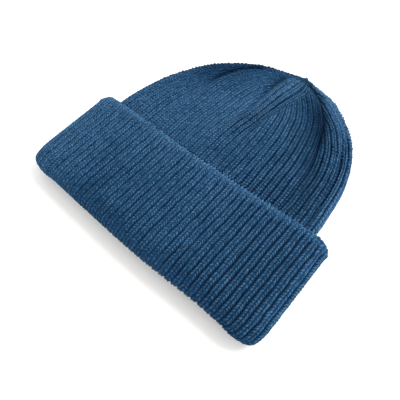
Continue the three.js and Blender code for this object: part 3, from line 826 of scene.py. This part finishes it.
def cuff_half(name, front):
    """Upper or under side of the cuff: bind-off edge, outer side, rim fold and plain inner side."""
    count = FRONT_COLUMNS if front else BACK_COLUMNS
    per_row = FRONT_ROWS if front else BACK_ROWS
    half_ribs = RIBS // 2
    first = -half_ribs // 2 if front else half_ribs // 2
    position = first + np.arange(half_ribs * count + 1) / count
    edge_steps = np.arange(-EDGE_STEPS, 0) / EDGE_STEPS
    side_steps = np.arange(SIDE_ROWS * per_row + 1) / (SIDE_ROWS * per_row)
    fold_steps = 1 + np.arange(1, FOLD_ROWS * per_row + 1) / (FOLD_ROWS * per_row)
    path = np.concatenate([edge_steps, side_steps, fold_steps])
    side_or_fold = np.where(path < 1, path * SIDE_ROWS, SIDE_ROWS + (path - 1) * FOLD_ROWS)
    row = np.where(path < 0, path, side_or_fold)

    angles, lengths = ring_lengths(cuff_side, SPACING_UP)
    total = lengths[-1]
    wide_lengths = np.concatenate([lengths[:-1] - total, lengths])
    wide_angles = np.concatenate([angles[:-1] - 2 * math.pi, angles])
    grooves = np.arange(first, first + half_ribs + 1)
    seed = FRONT_CUFF_SEED if front else BACK_CUFF_SEED
    sway = SWAY / CUFF_PITCH * wander(seed, half_ribs + 1, path)
    sway[:, [0, -1]] = 0.0
    swayed = position + np.array([np.interp(position, grooves, line) for line in sway])
    angle = np.interp(swayed * total / RIBS, wide_lengths, wide_angles)

    way = np.broadcast_to(path[:, None], angle.shape)
    rib = np.broadcast_to(position - first, angle.shape)
    rows = np.broadcast_to(row[:, None], angle.shape)
    base = cuff_face(way, angle)
    normal = -outward(cuff_face, way, angle)
    place = base[..., 0] / CUFF_HALF
    edge = ease(*EDGE_FADE, rows)
    depth = GROOVE_DEPTH * mix(1.0, EDGE_DEPTH, edge) * mix(1.0, FOLD_DEPTH, ease(*FOLD_DEPTH_FADE, rows))
    if front:
        depth = depth * along(CUFF_DEPTHS, 1, place)
    calm = side_calm(place) * mix(1.0, FOLD_CALM, ease(*FOLD_CALM_FADE, rows))
    points, relief, slipped = knitted(base, normal, rib, rows, depth, calm, right_round(place, CUFF_ROUND))
    bead = EDGE_BEAD * ease(*BEAD_START, rows) * ease(*BEAD_END, rows)
    bead = bead * mix(BEAD_DIP, 1.0, np.abs(np.sin(2 * math.pi * rib)))
    points = over_floor(points + normal * bead[..., None])

    inner = cuff_inner_rings(angle[0])
    plain = np.zeros((len(inner),) + relief.shape[1:])
    # Painted light and painted shade of each place of the cuff
    values = {"relief": relief, "rib": rib, "row": slipped, "painted_light": cuff_painted_light(rows, place, edge)}
    values = {key: np.concatenate([value, plain, value[:1]])[::-1] for key, value in values.items()}
    return to_piece(name, np.concatenate([points, inner, points[:1]])[::-1], values)


def lining(name):
    """Inner side of the crown from near the tip down to the rim, and outer side of its band in the cuff."""
    angles, lengths = ring_lengths(cuff_side, SPACING_UP)
    position = np.arange(RIBS * LINING_COLUMNS + 1) / LINING_COLUMNS
    angle = np.interp(position * lengths[-1] / RIBS, lengths, angles)
    dome_courses = np.linspace(LINING_TOP, 0.0, DOME_RINGS)
    band_courses = np.linspace(LINING_JOINT, -1.0, BAND_RINGS)
    outer_courses = np.linspace(-1.0, LINING_JOINT, OUTER_RINGS)
    courses = np.concatenate([dome_courses, band_courses])
    course, wide, rib = np.broadcast_arrays(courses[:, None], angle, position)
    normal = -outward(crown_inside, course, wide)
    relief = rib_profile(rib) * ease(*LINING_FADE, course)
    points = crown_inside(course, wide) - normal * (LINING_DEPTH * (1 - relief))[..., None]
    outer = crown_face(*np.broadcast_arrays(outer_courses[:, None], angle))
    plain = np.zeros(outer.shape[:2])
    # Its relief gives the grooves their painted shade, and it has no other painted light
    values = {"relief": relief, "rib": rib, "row": course * DOME_ROWS, "painted_light": np.zeros(relief.shape)}
    values = {key: np.concatenate([value, plain]) for key, value in values.items()}
    return to_piece(name, np.concatenate([points, outer]), values)


def wool():
    """Yarn coloured with painted shade and highlights and roughened stitch by stitch, from the values each
    piece holds.
    """
    material = bpy.data.materials.new("wool")
    material.use_nodes = True
    nodes, links = material.node_tree.nodes, material.node_tree.links
    shader = nodes["Principled BSDF"]
    shader.inputs["Roughness"].default_value = WOOL_ROUGHNESS
    shader.inputs["Specular IOR Level"].default_value = WOOL_SPECULAR
    shader.inputs["Sheen Weight"].default_value = SHEEN
    shader.inputs["Sheen Roughness"].default_value = SHEEN_ROUGHNESS
    shader.inputs["Sheen Tint"].default_value = SHEEN_TINT

    def node(kind, **settings):
        made = nodes.new(kind)
        for key, value in settings.items():
            setattr(made, key, value)
        return made

    def value_of(name):
        return node("ShaderNodeAttribute", attribute_name=name).outputs["Fac"]

    def noise(scale, detail, roughness):
        made = node("ShaderNodeTexNoise")
        made.inputs["Scale"].default_value = scale
        made.inputs["Detail"].default_value = detail
        made.inputs["Roughness"].default_value = roughness
        links.new(coordinates.outputs["Object"], made.inputs["Vector"])
        return made.outputs["Fac"]

    def ramp(value, bounds, value_bounds=(0.0, 1.0)):
        made = node("ShaderNodeMapRange")
        links.new(value, made.inputs["Value"])
        for key, number in zip(("From Min", "From Max", "To Min", "To Max"), (*value_bounds, *bounds)):
            made.inputs[key].default_value = number
        return made.outputs["Result"]

    def worked_out(kind, *values):
        made = node("ShaderNodeMath", operation=kind)
        for socket, value in zip(made.inputs, values):
            if isinstance(value, float):
                socket.default_value = value
            else:
                links.new(value, socket)
        return made.outputs[0]

    coordinates = node("ShaderNodeTexCoord")
    relief, rib, row, painted_light = (value_of(name) for name in ("relief", "rib", "row", "painted_light"))

    # V-shaped stitches along each rib
    across = worked_out("ABSOLUTE", worked_out("SUBTRACT", worked_out("FRACT", rib), 0.5))
    leg = worked_out("POWER", worked_out("SINE", worked_out("MULTIPLY", across, 2 * math.pi)), 2.0)
    turn = worked_out("SUBTRACT", row, worked_out("MULTIPLY", across, V_RISE))
    turn = worked_out("ADD", turn, ramp(noise(*JITTER_NOISE), JITTER, NOISE_RANGE))
    wave = worked_out("COSINE", worked_out("MULTIPLY", turn, 2 * math.pi))
    crest = ramp(wave, (0.0, 1.0), (-1.0, 1.0))

    # A size of its own for each stitch
    cell = node("ShaderNodeCombineXYZ")
    links.new(worked_out("FLOOR", worked_out("MULTIPLY", rib, 2.0)), cell.inputs["X"])
    links.new(worked_out("FLOOR", worked_out("ADD", turn, 0.5)), cell.inputs["Y"])
    chance = node("ShaderNodeTexWhiteNoise", noise_dimensions="2D")
    links.new(cell.outputs["Vector"], chance.inputs["Vector"])
    size = ramp(chance.outputs["Value"], CHANCE_SIZES)
    stitch = worked_out("MULTIPLY", worked_out("MULTIPLY", leg, crest), size)

    # Colour from painted shade in the grooves to painted highlights on the crests
    jagged = worked_out("ADD", relief, ramp(crest, CREST_RELIEF))
    shade = worked_out("MULTIPLY", ramp(jagged, RELIEF_SHADES), ramp(stitch, STITCH_SHADES))
    shade = worked_out("MULTIPLY", shade, ramp(noise(*GRAIN_NOISE), GRAIN_SHADES, NOISE_RANGE))
    shade = worked_out("MULTIPLY", shade, ramp(noise(*CLOUD_NOISE), CLOUD_SHADES, NOISE_RANGE))
    # Painted light and painted shade of each place
    shade = worked_out("MULTIPLY", shade, worked_out("ADD", painted_light, 1.0))
    colours = node("ShaderNodeValToRGB")
    for stop_place, _ in WOOL_STOPS[1:-1]:
        colours.color_ramp.elements.new(stop_place)
    for stop, (stop_place, colour) in zip(colours.color_ramp.elements, WOOL_STOPS):
        stop.position = stop_place
        stop.color = colour + (1.0,)
    links.new(shade, colours.inputs["Fac"])
    links.new(colours.outputs["Color"], shader.inputs["Base Color"])

    # Stitches and fibres that catch the light
    bump = node("ShaderNodeBump")
    bump.inputs["Strength"].default_value = BUMP_STRENGTH
    bump.inputs["Distance"].default_value = BUMP_DISTANCE
    height = worked_out("ADD", worked_out("MULTIPLY", stitch, STITCH_BUMP), noise(*FIBRE_NOISE))
    links.new(height, bump.inputs["Height"])
    links.new(bump.outputs["Normal"], shader.inputs["Normal"])
    return material


def pale_floor():
    """Plain floor like paper."""
    bpy.ops.mesh.primitive_plane_add(size=FLOOR_SIZE, location=(0.0, 0.0, 0.0))
    plane = bpy.context.object
    plane.name = "floor"
    paper = bpy.data.materials.new("floor_paper")
    paper.use_nodes = True
    shader = paper.node_tree.nodes["Principled BSDF"]
    shader.inputs["Base Color"].default_value = FLOOR_COLOUR
    shader.inputs["Roughness"].default_value = FLOOR_ROUGHNESS
    plane.data.materials.append(paper)
    return plane


def light_studio():
    """White surroundings and one soft lamp that points at the hat."""
    world = bpy.data.worlds.new("studio")
    bpy.context.scene.world = world
    world.use_nodes = True
    sky = world.node_tree.nodes["Background"]
    sky.inputs["Color"].default_value = SKY_COLOUR
    sky.inputs["Strength"].default_value = SKY_STRENGTH
    data = bpy.data.lights.new("key_light", "AREA")
    data.shape = "DISK"
    data.size = LAMP_SIZE
    data.energy = LAMP_POWER
    lamp = bpy.data.objects.new("key_light", data)
    lamp.location = LAMP_PLACE
    lamp.rotation_euler = (-Vector(LAMP_PLACE)).to_track_quat("-Z", "Y").to_euler()
    bpy.context.scene.collection.objects.link(lamp)


def place_camera():
    """Camera at the photo's angle, with its roll."""
    flat = math.cos(ELEVATION)
    forward = Vector((-math.sin(AZIMUTH) * flat, math.cos(AZIMUTH) * flat, -math.sin(ELEVATION)))
    level = forward.cross(Vector((0.0, 0.0, 1.0))).normalized()
    upward = level.cross(forward)
    turned_side = level * math.cos(ROLL) + upward * math.sin(ROLL)
    turned_up = -level * math.sin(ROLL) + upward * math.cos(ROLL)
    turn = Matrix((turned_side, turned_up, -forward)).transposed().to_4x4()
    data = bpy.data.cameras.new("camera")
    data.sensor_width = SENSOR
    data.lens = FOCAL_PIXELS * SENSOR / FRAME_PIXELS
    data.clip_start = CLIP_START
    data.clip_end = CLIP_END
    camera = bpy.data.objects.new("camera", data)
    bpy.context.scene.collection.objects.link(camera)
    camera.matrix_world = Matrix.Translation(Vector((CAMERA_PLACE + SHIFT) * MM)) @ turn
    bpy.context.scene.camera = camera
    bpy.context.scene.view_settings.view_transform = "Standard"


# Hat
blue_wool = wool()
pieces = [
    (crown_half("crown_front", True), "crown"),
    (crown_half("crown_back", False), "crown"),
    (lining("crown_lining"), "crown"),
    (cuff_half("cuff_front", True), "cuff"),
    (cuff_half("cuff_back", False), "cuff"),
]
for piece, node_name in pieces:
    piece.data.materials.append(blue_wool)
    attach(piece, "root")
    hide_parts(node_name)

# Floor, light and camera
floor = pale_floor()
light_studio()
place_camera()
